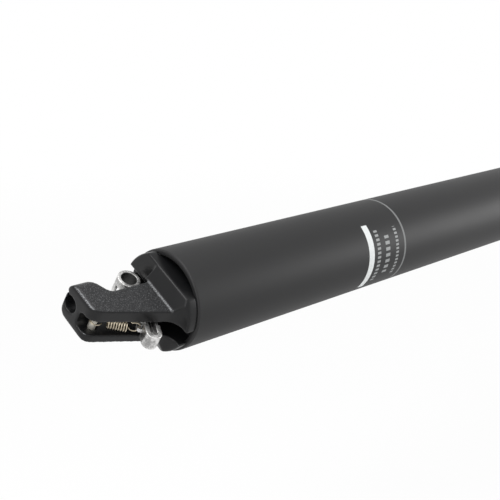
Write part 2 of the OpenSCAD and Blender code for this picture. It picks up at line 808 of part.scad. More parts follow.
module outer_jaw() {
    color(black) difference() {
        jaw_slab(rail_y + jaw_split, jaw_outer_y, jaw_disc_r - 2);
        along_y(0) cylinder(h = 2 * rail_y, r = bolt_hole_r);
        along_y(seat_y) cylinder(h = 2 * rail_y, r = seat_r);
        rail_cut();
    }
}

module inner_clamp_left() inner_jaw();
module inner_clamp_right() mirror([0, 1, 0]) inner_jaw();
module outer_clamp_left() outer_jaw();
module outer_clamp_right() mirror([0, 1, 0]) outer_jaw();

module clamp_bolt() {
    under_y = seat_y + washer_t;
    end_past = 6;
    end_y = -under_y - end_past;
    key_af = 5;
    key_depth = 4;
    color(steel) difference() {
        union() {
            along_y(end_y) cylinder(h = under_y - end_y, r = bolt_r);
            along_y(under_y) cylinder(h = bolt_head_t, r = bolt_head_d / 2);
        }
        along_y(under_y + bolt_head_t - key_depth)
            cylinder(h = key_depth + cut, d = key_af / cos(30), $fn = 6);
    }
}

module clamp_nut() {
    nut_t = 5;
    y = -seat_y - washer_t;
    color(steel) difference() {
        along_y(y - nut_t) cylinder(h = nut_t, d = clamp_nut_af / cos(30), $fn = 6);
        along_y(y - nut_t - cut) cylinder(h = nut_t + 2 * cut, r = bolt_r + snug_fit);
    }
}

module clamp_washers() {
    color(steel) for (side = [0, 1]) mirror([0, side, 0]) difference() {
        along_y(seat_y) cylinder(h = washer_t, r = seat_r - 0.2);
        along_y(seat_y - cut) cylinder(h = washer_t + 2 * cut, r = bolt_r + snug_fit);
    }
}

outer_tube();
actuator_foot();
lever_pivot_pin();
spring_anchor_pin();
actuator_lever();
return_spring();
valve_pin();
cartridge_rod();
rod_lock_nut();
piston();
piston_seal();
topout_bumper();
upper_bushing();
seal_collar();
collar_seal_ring();
wiper_seal();
stanchion();
lower_bushing();
guide_keys();
cartridge_tube();
cartridge_top_cap();
cartridge_end_cap();
rod_seal();
cartridge_guide();
retaining_ring();
saddle_head();
inner_clamp_left();
inner_clamp_right();
outer_clamp_left();
outer_clamp_right();
clamp_bolt();
clamp_nut();
clamp_washers();
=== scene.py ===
"""Looks of the dropper seatpost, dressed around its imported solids. All lengths are in metres."""

import logging
import math
from dataclasses import dataclass
from enum import Enum

import bmesh
import bpy
from mathutils import Matrix, Vector


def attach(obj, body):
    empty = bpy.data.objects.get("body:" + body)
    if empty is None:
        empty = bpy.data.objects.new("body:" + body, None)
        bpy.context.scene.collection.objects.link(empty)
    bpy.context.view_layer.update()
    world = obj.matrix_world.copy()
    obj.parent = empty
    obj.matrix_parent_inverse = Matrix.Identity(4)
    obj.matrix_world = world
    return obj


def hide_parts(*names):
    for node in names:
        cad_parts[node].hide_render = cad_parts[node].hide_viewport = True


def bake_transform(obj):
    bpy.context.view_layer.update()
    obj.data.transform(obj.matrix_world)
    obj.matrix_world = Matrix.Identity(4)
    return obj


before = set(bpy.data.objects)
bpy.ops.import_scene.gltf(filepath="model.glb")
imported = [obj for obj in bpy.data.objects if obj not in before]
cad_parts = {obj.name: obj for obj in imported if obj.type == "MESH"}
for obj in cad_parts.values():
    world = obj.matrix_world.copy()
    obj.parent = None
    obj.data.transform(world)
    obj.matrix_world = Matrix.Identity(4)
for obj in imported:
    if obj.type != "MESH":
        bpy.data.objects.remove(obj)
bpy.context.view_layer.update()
LOG = logging.getLogger("seatpost")
MM = 0.001
WELD = 0.0005 * MM
WHITE = (1.0, 1.0, 1.0, 1.0)
Tone = tuple[float, float, float]
Point = tuple[float, float, float]
Span = tuple[float, float]
Shares = tuple[float, float, float]
Piece = bpy.types.Object


class Body(Enum):
    """Moving bodies of the post."""

    LOWER = "lower_assembly"
    UPPER = "upper_assembly"
    CLAMP = "rail_clamp"
    LEVER = "lever"


@dataclass(frozen=True)
class FootFrame:
    """The foot's own axes: along the post from the rim, to the far side, across the lever.

    Attributes:
        rim: Place of the tube's rim along the post.
        roll: Turn of the foot about the post.
        gap: Place of the lever's middle plane across the foot.
    """

    rim: float = -103 * MM
    roll: float = math.radians(33.0)
    gap: float = -0.8 * MM

    def matrix(self) -> Matrix:
        """Matrix from the foot's axes to the post's."""
        return Matrix.Translation((self.rim, 0, 0)) @ Matrix.Rotation(self.roll, 4, "X")

    def plan(self, x: float, y: float) -> Point:
        """Point of the lever's middle plane, in the post's axes."""
        return tuple(self.matrix() @ Vector((x, y, self.gap)))

    def across(self) -> Point:
        """Direction across the lever, in the post's axes."""
        return 0.0, -math.sin(self.roll), math.cos(self.roll)


FOOT = FootFrame()


# Node graphs


class Value:
    """A number on a node's output that takes part in Python arithmetic."""

    def __init__(self, graph: "Graph", socket: bpy.types.NodeSocket | None) -> None:
        """Keeps the graph and the socket."""
        self.graph = graph
        self.socket = socket

    def _math(self, operation: str, *terms: "Value | float") -> "Value":
        """Adds a Math node on the given terms."""
        return self.graph.node("ShaderNodeMath", {"operation": operation}, dict(enumerate(terms)))

    def __add__(self, other: "Value | float") -> "Value":
        """Sum."""
        return self._math("ADD", self, other)

    __radd__ = __add__

    def __sub__(self, other: "Value | float") -> "Value":
        """Difference."""
        return self._math("SUBTRACT", self, other)

    def __rsub__(self, other: float) -> "Value":
        """Reflected difference."""
        return self._math("SUBTRACT", other, self)

    def __mul__(self, other: "Value | float") -> "Value":
        """Product."""
        return self._math("MULTIPLY", self, other)

    __rmul__ = __mul__

    def __lt__(self, other: "Value | float") -> "Value":
        """One where this is less, else nought."""
        return self._math("LESS_THAN", self, other)

    def __abs__(self) -> "Value":
        """Size without sign."""
        return self._math("ABSOLUTE", self)

    def part(self) -> "Value":
        """Fraction left over from the whole number below."""
        return self._math("FRACT", self)

    def angle(self, other: "Value") -> "Value":
        """Angle whose tangent is this over the other."""
        return self._math("ARCTAN2", self, other)

    def larger(self, other: "Value | float") -> "Value":
        """The larger of the two."""
        return self._math("MAXIMUM", self, other)

    def ramp(self, low: float, high: float, start: float = 0.0, end: float = 1.0) -> "Value":
        """Runs smoothly from start to end.

        Args:
            low: Value at which the run begins.
            high: Value at which it ends.
            start: Result at and below low.
            end: Result at and above high.

        Returns:
            The eased value.
        """
        inputs = {"Value": self, "From Min": low, "From Max": high, "To Min": start, "To Max": end}
        return self.graph.node("ShaderNodeMapRange", {"interpolation_type": "SMOOTHSTEP"}, inputs)

    def fade(self, low: float, high: float) -> "Value":
        """One at and below low, nought at and above high."""
        return self.ramp(low, high, 1.0, 0.0)

    def output(self, name: str) -> "Value":
        """Another output of the same node."""
        return Value(self.graph, self.socket.node.outputs[name])


class Graph:
    """The node tree of a material or of the world."""

    def __init__(self, holder: bpy.types.Material | bpy.types.World) -> None:
        """Empties the tree.

        Args:
            holder: Owner of the tree.
        """
        holder.use_nodes = True
        self.tree = holder.node_tree
        self.tree.nodes.clear()

    def node(self, kind: str, settings: dict | None = None, inputs: dict | None = None,
             output: int | str = 0) -> Value:
        """Adds a node.

        Args:
            kind: Node type.
            settings: Attributes of the node, set first.
            inputs: Values or links by socket name or index.
            output: Output that is returned.

        Returns:
            The chosen output.
        """
        node = self.tree.nodes.new(kind)
        for key, value in (settings or {}).items():
            setattr(node, key, value)
        for key, value in (inputs or {}).items():
            if isinstance(value, Value):
                self.tree.links.new(value.socket, node.inputs[key])
            else:
                node.inputs[key].default_value = value
        return Value(self, node.outputs[output] if len(node.outputs) else None)

    def place(self) -> Value:
        """Object coordinates of the piece."""
        return self.node("ShaderNodeTexCoord", output="Object")

    def axes(self, place: Value) -> tuple[Value, Value, Value]:
        """The three parts of some coordinates."""
        split = self.node("ShaderNodeSeparateXYZ", None, {0: place})
        return split, split.output("Y"), split.output("Z")

    def dot(self, vector: Value, way: Point) -> Value:
        """Reach of a vector along a direction."""
        return self.node("ShaderNodeVectorMath", {"operation": "DOT_PRODUCT"}, {0: vector, 1: way}, "Value")

    def length(self, vector: Value) -> Value:
        """Length of a vector."""
        return self.node("ShaderNodeVectorMath", {"operation": "LENGTH"}, {0: vector}, "Value")

    def facing(self, way: Point) -> Value:
        """How far the surface faces a direction, from -1 to 1."""
        return self.dot(self.node("ShaderNodeTexCoord", output="Normal"), way)

    def pointiness(self) -> Value:
        """Under a half in hollows, over it on edges."""
        return self.node("ShaderNodeNewGeometry", output="Pointiness")

    def noise(self, place: Value, size: float, detail: float = 2.0, rough: float = 0.5) -> Value:
        """Noise whose lumps are about the given size across."""
        return self.node("ShaderNodeTexNoise", None,
                         {"Vector": place, "Scale": 1 / size, "Detail": detail, "Roughness": rough})

    def specks(self, place: Value, size: float) -> Value:
        """Distance to the nearest of many scattered points, in cells of the given size."""
        return self.node("ShaderNodeTexVoronoi", None, {"Vector": place, "Scale": 1 / size})

    def stretched(self, place: Value, scale: Point) -> Value:
        """Coordinates with each axis scaled."""
        return self.node("ShaderNodeMapping", None, {"Vector": place, "Scale": scale})

    def mix(self, share: Value, low: "Value | Tone", high: "Value | Tone") -> Value:
        """Blends two tones by a share."""
        tones = [tone if isinstance(tone, Value) else (*tone, 1.0) for tone in (low, high)]
        return self.node("ShaderNodeMix", {"data_type": "RGBA"}, {0: share, 6: tones[0], 7: tones[1]}, 2)


# Finishes


@dataclass
class Surface:
    """What varies over a surface.

    Attributes:
        tone: Base colour.
        roughness: Roughness.
        height: Relief from nought to one, in units of the finish's relief.
    """

    tone: Value
    roughness: Value
    height: Value


@dataclass(frozen=True)
class Finish:
    """A procedural finish.

    Attributes:
        name: Name of the material.
        slot: Material slot of the record; not used.
        tone: Main colour.
        roughness: Mean roughness.
        grain: Size of the fine grain.
        relief: Depth of the grain.
        metallic: Metallic share.
        level: Specular level.
        coat: Weight of a clear coat.
        coat_rough: Roughness of that coat.
        blotch: Size of the broad blotches.
        blotch_share: Share of the blotches in the play of the tone; the grain has the rest.
        shades: Darkest and lightest shade of the main colour.
        rough_mix: Shares of the roughness that are even, follow the blotches and follow the grain.
    """

    name: str
    slot: str
    tone: Tone
    roughness: float
    grain: float = 0.4 * MM
    relief: float = 0.01 * MM
    metallic: float = 0.0
    level: float = 0.5
    coat: float = 0.0
    coat_rough: float = 0.15
    blotch: float = 14 * MM
    blotch_share: float = 0.6
    shades: Span = (0.8, 1.2)
    rough_mix: Shares = (0.82, 0.2, 0.16)

    def material(self) -> bpy.types.Material:
        """Builds the material.

        Returns:
            The finished material.
        """
        material = bpy.data.materials.new(self.name)
        graph = Graph(material)
        surface = self.surface(graph, graph.place())
        bump = graph.node("ShaderNodeBump", None, {
            "Strength": 1.0, "Distance": self.relief, "Height": surface.height})
        shader = graph.node("ShaderNodeBsdfPrincipled", None, {
            "Base Color": surface.tone, "Roughness": surface.roughness, "Metallic": self.metallic,
            "Specular IOR Level": self.level, "Coat Weight": self.coat, "Coat Roughness": self.coat_rough,
            "Normal": bump})
        graph.node("ShaderNodeOutputMaterial", None, {"Surface": shader})
        return material

    def shade(self, factor: float) -> Tone:
        """The main colour, lighter or darker."""
        return tuple(min(1.0, channel * factor) for channel in self.tone)

    def play(self, broad: Value, fine: Value) -> Value:
        """Blotches and grain in their shares."""
        return broad * self.blotch_share + fine * (1 - self.blotch_share)

    def toned(self, graph: Graph, broad: Value, fine: Value) -> Value:
        """The main colour, playing between its darkest and lightest shade."""
        return graph.mix(self.play(broad, fine), *map(self.shade, self.shades))

    def rough(self, broad: Value, fine: Value) -> Value:
        """Roughness that follows the blotches and the grain."""
        even, by_blotch, by_grain = self.rough_mix
        return self.roughness * (even + broad * by_blotch + fine * by_grain)

    def surface(self, graph: Graph, place: Value) -> Surface:
        """Even finish with a fine grain.

        Args:
            graph: Graph of the material.
            place: Object coordinates.

        Returns:
            What varies over the surface.
        """
        fine = graph.noise(place, self.grain)
        broad = graph.noise(place, self.blotch, detail=3.0)
        return Surface(self.toned(graph, broad, fine), self.rough(broad, fine), fine)


@dataclass(frozen=True)
class TickRow:
    """A row of plain printed ticks round the tube.

    Attributes:
        place: Place of the row along the post.
        width: Length of a tick along the post.
        reach: Half of the row's angle, in degrees.
        count: Ticks in a full turn.
    """

    place: float
    width: float
    reach: float
    count: float


@dataclass(frozen=True)
class PrintedTube(Finish):
    """Blasted and anodised tube with an insertion ring, a bar and rows of plain ticks.

    Attributes:
        ink: Colour of the print.
        middle: Angle about the axis at which the print is centred.
        bar_x: Place of the bar along the post.
        bar_w: Width of the bar.
        bar_reach: Half of the bar's angle, in degrees.
        ring_x: Place of the insertion ring along the post.
        ring_w: Width of the ring.
        ring: Strength of the ring beside the ticks.
        rows: Rows of ticks.
        faint: Strength of the ticks beside the bar.
        fill: Share of each step that a tick fills.
        shift: Shift of the ticks, in steps.
        blur: Half width of the print's soft edge.
        thin: Grain between which the ink goes from thin to full.
        thin_ink: Strength of the ink where it is thin.
        ink_rough: Roughness that the ink adds.
        ink_fill: Share of the relief that the ink fills.
        drawn: Scale of the blotches along each axis.
    """

    blotch: float = 12 * MM
    blotch_share: float = 0.5
    shades: Span = (0.78, 1.22)
    rough_mix: Shares = (0.86, 0.16, 0.12)
    ink: Tone = (0.66, 0.68, 0.68)
    middle: float = math.radians(-178.0)
    bar_x: float = -19.6 * MM
    bar_w: float = 3.0 * MM
    bar_reach: float = 46.0
    ring_x: float = 0.6 * MM
    ring_w: float = 0.95 * MM
    ring: float = 0.6
    rows: tuple[TickRow, ...] = (TickRow(-15.2 * MM, 1.9 * MM, 36.0, 62.0),
                                 TickRow(-10.0 * MM, 2.5 * MM, 26.0, 44.0),
                                 TickRow(-4.2 * MM, 1.6 * MM, 35.0, 70.0))
    faint: float = 0.4
    fill: float = 0.55
    shift: float = 0.25
    blur: float = 0.06 * MM
    thin: Span = (0.3, 0.42)
    thin_ink: float = 0.75
    ink_rough: float = 0.1
    ink_fill: float = 0.7
    drawn: Point = (0.3, 1.0, 1.0)

    def band(self, along: Value, centre: float, width: float) -> Value:
        """Ring of a given width round the tube."""
        return abs(along - centre).fade(width / 2 - self.blur, width / 2 + self.blur)

    def arc(self, turn: Value, reach: float) -> Value:
        """Share of the tube within an angle of the print's middle."""
        return abs(turn) < math.radians(reach)

    def ticks(self, along: Value, turn: Value, row: TickRow) -> Value:
        """Marks a row of ticks.

        Args:
            along: Place along the post.
            turn: Angle from the print's middle.
            row: The row.

        Returns:
            Mask of the row.
        """
        step = (turn * (row.count / math.tau) + self.shift).part()
        return self.band(along, row.place, row.width) * self.arc(turn, row.reach) * (step < self.fill)

    def surface(self, graph: Graph, place: Value) -> Surface:
        """Blasted grain with the print laid over it.

        Args:
            graph: Graph of the material.
            place: Object coordinates.

        Returns:
            What varies over the surface.
        """
        along, far, up = graph.axes(place)
        turn = (far * math.sin(-self.middle) + up * math.cos(-self.middle)).angle(
            far * math.cos(-self.middle) - up * math.sin(-self.middle))
        lines = self.band(along, self.ring_x, self.ring_w) * self.ring
        for row in self.rows:
            lines = lines.larger(self.ticks(along, turn, row))
        bar = self.band(along, self.bar_x, self.bar_w) * self.arc(turn, self.bar_reach)
        fine = graph.noise(place, self.grain, detail=3.0, rough=0.6)
        broad = graph.noise(graph.stretched(place, self.drawn), self.blotch, detail=3.0)
        ink = bar.larger(lines * self.faint) * fine.ramp(*self.thin, self.thin_ink)
        tone = graph.mix(ink, self.toned(graph, broad, fine), self.ink)
        return Surface(tone, self.rough(broad, fine) + ink * self.ink_rough, fine * (1 - ink * self.ink_fill))


@dataclass(frozen=True)
class CastCoat(Finish):
    """Black coat over a casting: gritty open faces, smooth sides, rubbed edges, painted highlights and
    glints.

    Attributes:
        open_way: Direction that the gritty faces look in, or its opposite.
        flat: How far a face looks that way where grit begins and where it is full.
        outer: Height along that way where grit begins and where it is full.
        cast_end: Place along the post where the cast skin ends and the turned flange begins.
        root: Place along the post of the inner corner between the arms and their webs.
        root_width: Distance from that corner at which its painted highlight line begins to fade and is gone.
        root_top: Height at which that line begins to fade and is gone.
        head: Place along the post where the foot's head ends.
        front: How far a face looks between open and front where its painted highlight edge begins and is
            full.
        edge: Pointiness at which the rubbed coat and painted highlight of an edge begin and are full.
        shown: How far an edge looks the open way where its rubbed coat and painted highlight begin and are
            full.
        wear_and_highlight_tone: Colour of the rubbed edges, and of the painted highlight lines, edge
            highlights and glints.
        wear_and_highlight_at: Grain at which the rubbed edges and the painted highlight lines begin and are
            full.
        spark_size: Size of the painted glints' cells, in grains.
        spark_core: Distance from a point's middle at which it begins to fade and is gone, in cells.
        spark_at: Grain at which the points begin and are full.
        glint_tone: Strength of the painted glints.
        spark_gloss: Roughness that the points take away.
        spark_share: Share of the points in the relief; the grain has the rest.
        haze: Share of that bright colour all over the grit.
        haze_rough: Roughness that the grit adds.
    """

    blotch: float = 6 * MM
    blotch_share: float = 0.5
    shades: Span = (0.5, 1.5)
    rough_mix: Shares = (0.9, 0.2, 0.0)
    open_way: Point = FOOT.across()
    flat: Span = (0.8, 0.95)
    outer: Span = (5.7 * MM, 6.1 * MM)
    cast_end: float = -106.6 * MM
    root: float = -109.3 * MM
    root_width: Span = (0.1 * MM, 0.5 * MM)
    root_top: Span = (7.1 * MM, 7.5 * MM)
    head: float = -126.0 * MM
    front: Span = (0.94, 0.99)
    edge: Span = (0.535, 0.59)
    shown: Span = (0.35, 0.6)
    wear_and_highlight_tone: Tone = (0.2, 0.204, 0.212)
    wear_and_highlight_at: Span = (0.4, 0.54)
    spark_size: float = 1.3
    spark_core: Span = (0.2, 0.5)
    spark_at: Span = (0.38, 0.58)
    glint_tone: float = 0.42
    spark_gloss: float = 0.1
    spark_share: float = 0.5
    haze: float = 0.05
    haze_rough: float = 0.08

    def grit(self, graph: Graph, place: Value) -> tuple[Value, Value]:
        """Marks the arms' gritty outer faces, and painted highlight lines at their webs' corner and front
        edge.

        Args:
            graph: Graph of the material.
            place: Object coordinates.

        Returns:
            Masks of the grit and of the painted highlight lines.
        """
        height = abs(graph.dot(place, self.open_way))
        along = graph.axes(place)[0]
        looks = abs(graph.facing(self.open_way))
        outer = height.ramp(*self.outer)
        # Painted highlight line along the inner corner between the arms and their webs.
        root = abs(along - self.root).fade(*self.root_width) * height.fade(*self.root_top)
        ahead = (Vector(self.open_way) - Vector((1, 0, 0))).normalized()
        # Painted highlight line along the head's front-top edge.
        front = graph.facing(tuple(ahead)).ramp(*self.front) * (along < self.head)
        lines = front.larger(looks * root) * outer
        return looks.ramp(*self.flat) * outer * (along < self.cast_end), lines

    def surface(self, graph: Graph, place: Value) -> Surface:
        """Grit by the way a face looks, with painted glints, rubbed edges with a painted highlight, and
        painted highlight lines.

        Args:
            graph: Graph of the material.
            place: Object coordinates.

        Returns:
            What varies over the surface.
        """
        grit, lines = self.grit(graph, place)
        lumps = graph.noise(place, self.grain, rough=0.6)
        broad = graph.noise(place, self.blotch)
        cells = graph.specks(place, self.grain * self.spark_size)
        # Edges that look the open way: partly rubbed coat, partly painted highlight; the painted highlight
        # lines join them.
        edge = graph.pointiness().ramp(*self.edge) * graph.facing(self.open_way).ramp(*self.shown)
        wear_and_highlight = edge.larger(lines) * lumps.ramp(*self.wear_and_highlight_at)
        # Bright points in the grit are painted glints; they also lower the roughness and raise the relief.
        glint = cells.fade(*self.spark_core) * lumps.ramp(*self.spark_at) * grit
        coat = graph.mix(grit * self.haze, self.toned(graph, broad, lumps), self.wear_and_highlight_tone)
        # Rubbed edges, painted highlights and painted glints all take the same bright colour.
        tone = graph.mix(wear_and_highlight.larger(glint * self.glint_tone), coat, self.wear_and_highlight_tone)
        rough = self.rough(broad, lumps) - glint * self.spark_gloss + grit * self.haze_rough
        height = (lumps * (1 - self.spark_share) + glint * self.spark_share) * grit
        return Surface(tone, rough, height)


@dataclass(frozen=True)
class CastMetal(Finish):
    """Bare cast alloy, tumbled bright, with a coarse skin, darker in its hollows, and painted shade inside
    one bore.

    Attributes:
        contrast: Play of the tone between which it goes from darkest to lightest.
        skin_share: Share of the grain in the relief; the blotches have the rest.
        bore_at: Point on the bore's axis.
        bore_way: Direction of the bore's axis.
        bore: Radius of the bore.
        bore_fade: Radii at which the painted shade in the bore begins to fade and is gone, in bores.
        hollow: Pointiness at which a hollow's dull begins to fade and is gone.
        hollow_dull: Strength of the dull in a hollow.
        dull_shade: Shade of the main colour where it is dull: in the hollows, and as painted shade in the
            bore.
        dull_rough: Roughness that the dull adds.
    """

    blotch: float = 2.2 * MM
    shades: Span = (0.42, 1.05)
    rough_mix: Shares = (0.75, 0.25, 0.3)
    contrast: Span = (0.38, 0.62)
    skin_share: float = 0.6
    bore_at: Point = FOOT.plan(-7.6 * MM, 9.4 * MM)
    bore_way: Point = FOOT.across()
    bore: float = 2.45 * MM
    bore_fade: Span = (1.0, 1.12)
    hollow: Span = (0.4, 0.5)
    hollow_dull: float = 0.7
    dull_shade: float = 0.12
    dull_rough: float = 0.2

    def play(self, broad: Value, fine: Value) -> Value:
        """Blotches and grain in their shares, with more contrast."""
        return super().play(broad, fine).ramp(*self.contrast)

    def inside(self, graph: Graph, place: Value) -> Value:
        """Painted shade: one inside the bore, fading out at its mouth.

        Args:
            graph: Graph of the material.
            place: Object coordinates.

        Returns:
            Mask of the painted shade in the bore.
        """
        off = graph.node("ShaderNodeVectorMath", {"operation": "SUBTRACT"}, {0: place, 1: self.bore_at})
        along = graph.dot(off, self.bore_way)
        far = graph.length(off)
        return (far * far - along * along).fade(*((self.bore * share) ** 2 for share in self.bore_fade))

    def surface(self, graph: Graph, place: Value) -> Surface:
        """Coarse skin, darker and rougher in the hollows, with painted shade inside the bore.

        Args:
            graph: Graph of the material.
            place: Object coordinates.

        Returns:
            What varies over the surface.
        """
        fine = graph.noise(place, self.grain, detail=3.0, rough=0.6)
        broad = graph.noise(place, self.blotch)
        hollow = graph.pointiness().fade(*self.hollow)
        # Darker and rougher in the hollows; inside the bore the darkening is painted shade.
        dull = (hollow * self.hollow_dull).larger(self.inside(graph, place))
        tone = graph.mix(dull, self.toned(graph, broad, fine), self.shade(self.dull_shade))
        height = fine * self.skin_share + broad * (1 - self.skin_share)
        return Surface(tone, self.rough(broad, fine) + dull * self.dull_rough, height)


@dataclass(frozen=True)
class TurnedMetal(Finish):
    """Turned or drawn metal with fine tool marks across one axis.

    Attributes:
        across: Scale of the marks along each axis; a large number makes marks that run across that axis.
        mark: Size of the marks before they are scaled.
    """

    blotch: float = 7 * MM
    blotch_share: float = 0.5
    shades: Span = (0.8, 1.12)
    rough_mix: Shares = (0.7, 0.2, 0.4)
    across: Point = (12.0, 1.0, 1.0)
    mark: float = 2.4 * MM

    def surface(self, graph: Graph, place: Value) -> Surface:
        """Fine marks with a little staining.

        Args:
            graph: Graph of the material.
            place: Object coordinates.

        Returns:
            What varies over the surface.
        """
        marks = graph.noise(graph.stretched(place, self.across), self.mark, detail=4.0, rough=0.65)
        broad = graph.noise(place, self.blotch)
        return Surface(self.toned(graph, broad, marks), self.rough(broad, marks), marks)


@dataclass(frozen=True)
class FinishSet:
    """Every finish of the post."""

    tube: Finish = PrintedTube("blasted_tube", "tube_black", (0.012, 0.012, 0.0124), 0.54,
                               grain=0.22 * MM, relief=0.008 * MM, level=0.3)
    cast: Finish = CastCoat("cast_coat", "cast_black", (0.006, 0.0061, 0.0066), 0.34,
                            grain=0.3 * MM, relief=0.06 * MM, level=0.24)
    lever: Finish = CastMetal("tumbled_casting", "lever_silver", (0.7, 0.695, 0.685), 0.34,
                              grain=0.5 * MM, relief=0.09 * MM, metallic=1.0)
    spring: Finish = TurnedMetal("drawn_wire", "spring_wire", (0.5, 0.44, 0.34), 0.3,
                                 relief=0.004 * MM, metallic=1.0, across=(1.0, 1.0, 3.0))
    post: Finish = TurnedMetal("pale_sleeve", "bright_steel", (0.8, 0.77, 0.7), 0.6,
                               relief=0.01 * MM, metallic=1.0, across=(1.0, 1.0, 1.0))
    pin: Finish = TurnedMetal("ground_pin", "bright_steel", (0.72, 0.71, 0.69), 0.24,
                              relief=0.004 * MM, metallic=1.0, across=(1.0, 1.0, 1.0))
    alloy: Finish = TurnedMetal("turned_alloy", "bare_alloy", (0.7, 0.7, 0.71), 0.32,
                                relief=0.006 * MM, metallic=1.0)
    dark_steel: Finish = TurnedMetal("blackened_steel", "dark_steel", (0.09, 0.09, 0.095), 0.34,
                                     relief=0.006 * MM, metallic=1.0, across=(1.0, 6.0, 1.0))
    stanchion: Finish = TurnedMetal("hard_anodised", "stanchion_black", (0.013, 0.013, 0.014), 0.22,
                                    relief=0.002 * MM, coat=0.25)
    head: Finish = Finish("forged_black", "head_black", (0.012, 0.012, 0.0127), 0.36,
                          grain=0.3 * MM, relief=0.016 * MM, level=0.35)
    brass: Finish = TurnedMetal("key_metal", "key_brass", (0.72, 0.52, 0.24), 0.3,
                                relief=0.004 * MM, metallic=1.0)
    rubber: Finish = Finish("seal_lip", "seal_rubber", (0.016, 0.016, 0.016), 0.62,
                            grain=0.3 * MM, relief=0.012 * MM, level=0.35)
    bush: Finish = Finish("slide_bushing", "bush_grey", (0.24, 0.25, 0.24), 0.5,
                          grain=0.25 * MM, relief=0.01 * MM)


class Paintbox:
    """Makes each material once."""

    def __init__(self) -> None:
        """Starts empty."""
        self.made: dict[str, bpy.types.Material] = {}

    def coat(self, piece: Piece, finish: Finish) -> None:
        """Gives a piece one finish.

        Args:
            piece: The piece.
            finish: Its finish.
        """
        if finish.name not in self.made:
            self.made[finish.name] = finish.material()
        piece.data.materials.clear()
        piece.data.materials.append(self.made[finish.name])


PAINT = Paintbox()
COATS = FinishSet()


# Shaping


class Shape:
    """A mesh on its way to becoming a piece."""

    def __init__(self) -> None:
        """Starts with no vertices."""
        self.mesh = bmesh.new()

    @classmethod
    def from_node(cls, node: str) -> "Shape":
        """Welded copy of a CAD node.

        Args:
            node: Name of the node.

        Returns:
            The copy.
        """
        shape = cls()
        shape.mesh.from_mesh(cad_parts[node].data)
        bmesh.ops.remove_doubles(shape.mesh, verts=shape.mesh.verts, dist=WELD)
        return shape

    @classmethod
    def turned(cls, profile: list[Span], steps: int) -> "Shape":
        """Spins a closed profile about the post's axis.

        Args:
            profile: Pairs of place along the post and radius.
            steps: Steps in a full turn.

        Returns:
            The turned shape.
        """
        shape = cls()
        verts = [shape.mesh.verts.new((x, 0.0, r)) for x, r in profile]
        edges = [shape.mesh.edges.new((verts[i - 1], verts[i])) for i in range(len(verts))]
        bmesh.ops.spin(shape.mesh, geom=verts + edges, cent=(0, 0, 0), axis=(1, 0, 0),
                       angle=math.tau, steps=steps, use_merge=True)
        bmesh.ops.remove_doubles(shape.mesh, verts=shape.mesh.verts, dist=WELD)
        bmesh.ops.recalc_face_normals(shape.mesh, faces=shape.mesh.faces)
        return shape

    def eased(self, width: float, segments: int = 2, least: float = 28.0, flat: float = 0.4) -> "Shape":
        """Rounds the sharp edges.

        Args:
            width: Width of the rounding.
            segments: Steps across it.
            least: Smallest angle, in degrees, that counts as sharp.
            flat: Largest angle, in degrees, between faces that become one first.

        Returns:
            This shape.
        """
        bmesh.ops.dissolve_limit(self.mesh, angle_limit=math.radians(flat),
                                 verts=self.mesh.verts, edges=self.mesh.edges)
        sharp = [edge for edge in self.mesh.edges
                 if len(edge.link_faces) == 2 and edge.calc_face_angle(0.0) > math.radians(least)]
        bmesh.ops.bevel(self.mesh, geom=sharp, offset=width, offset_type="OFFSET", segments=segments,
                        profile=0.5, affect="EDGES", clamp_overlap=True, material=-1)
        return self

    def ringed(self, x: float, radius: float, width: float, segments: int) -> "Shape":
        """Rounds the ring of edges at one place of a turned shape.

        Args:
            x: Place of the ring along the post.
            radius: Radius of the ring.
            width: Radius of the rounding.
            segments: Steps across it.

        Returns:
            This shape.
        """
        near = 0.001 * MM
        ring = [edge for edge in self.mesh.edges
                if all(abs(v.co.x - x) < near and abs(math.hypot(v.co.y, v.co.z) - radius) < near
                       for v in edge.verts)]
        bmesh.ops.bevel(self.mesh, geom=ring, offset=width, offset_type="OFFSET", segments=segments,
                        profile=0.5, affect="EDGES", material=-1)
        return self

    def piece(self, name: str) -> Piece:
        """Makes the piece.

        Args:
            name: Name of the piece.

        Returns:
            The new object.
        """
        mesh = bpy.data.meshes.new(name)
        self.mesh.to_mesh(mesh)
        self.mesh.free()
        return smoothed(name, mesh)


def placed(name: str, data: bpy.types.ID) -> Piece:
    """Puts an object into the scene.

    Args:
        name: Name of the object.
        data: Its mesh, wire, lamp or lens.

    Returns:
        The new object.
    """
    thing = bpy.data.objects.new(name, data)
    bpy.context.scene.collection.objects.link(thing)
    return thing


def smoothed(name: str, mesh: bpy.types.Mesh, crease: float = 32.0) -> Piece:
    """Puts a mesh into the scene with smooth shading.

    Args:
        name: Name of the piece.
        mesh: Its mesh.
        crease: Angle, in degrees, above which an edge stays sharp to the eye.

    Returns:
        The new object.
    """
    mesh.polygons.foreach_set("use_smooth", [True] * len(mesh.polygons))
    mesh.set_sharp_from_angle(angle=math.radians(crease))
    return placed(name, mesh)


def plain_mesh(piece: Piece) -> bpy.types.Mesh:
    """Mesh of an object with its modifiers or its wire's thickness made real."""
    graph = bpy.context.evaluated_depsgraph_get()
    return bpy.data.meshes.new_from_object(piece.evaluated_get(graph))


def skinned(node: str, name: str, voxel: float, passes: int, soften: float = 0.5) -> Piece:
    """Makes a piece of a CAD node, with one continuous cast skin and soft edges.

    Args:
        node: Name of the node.
        name: Name of the piece.
        voxel: Size of the skin's cells.
        passes: Smoothing passes.
        soften: Strength of a pass.

    Returns:
        The new object.
    """
    piece = Shape.from_node(node).piece(name)
    skin = piece.modifiers.new("skin", "REMESH")
    skin.mode = "VOXEL"
    skin.voxel_size = voxel
    skin.use_smooth_shade = True
    smooth = piece.modifiers.new("soften", "SMOOTH")
    smooth.factor = soften
    smooth.iterations = passes
    mesh = plain_mesh(piece)
    mesh.name = piece.name
    piece.modifiers.clear()
    piece.data = mesh
    return piece


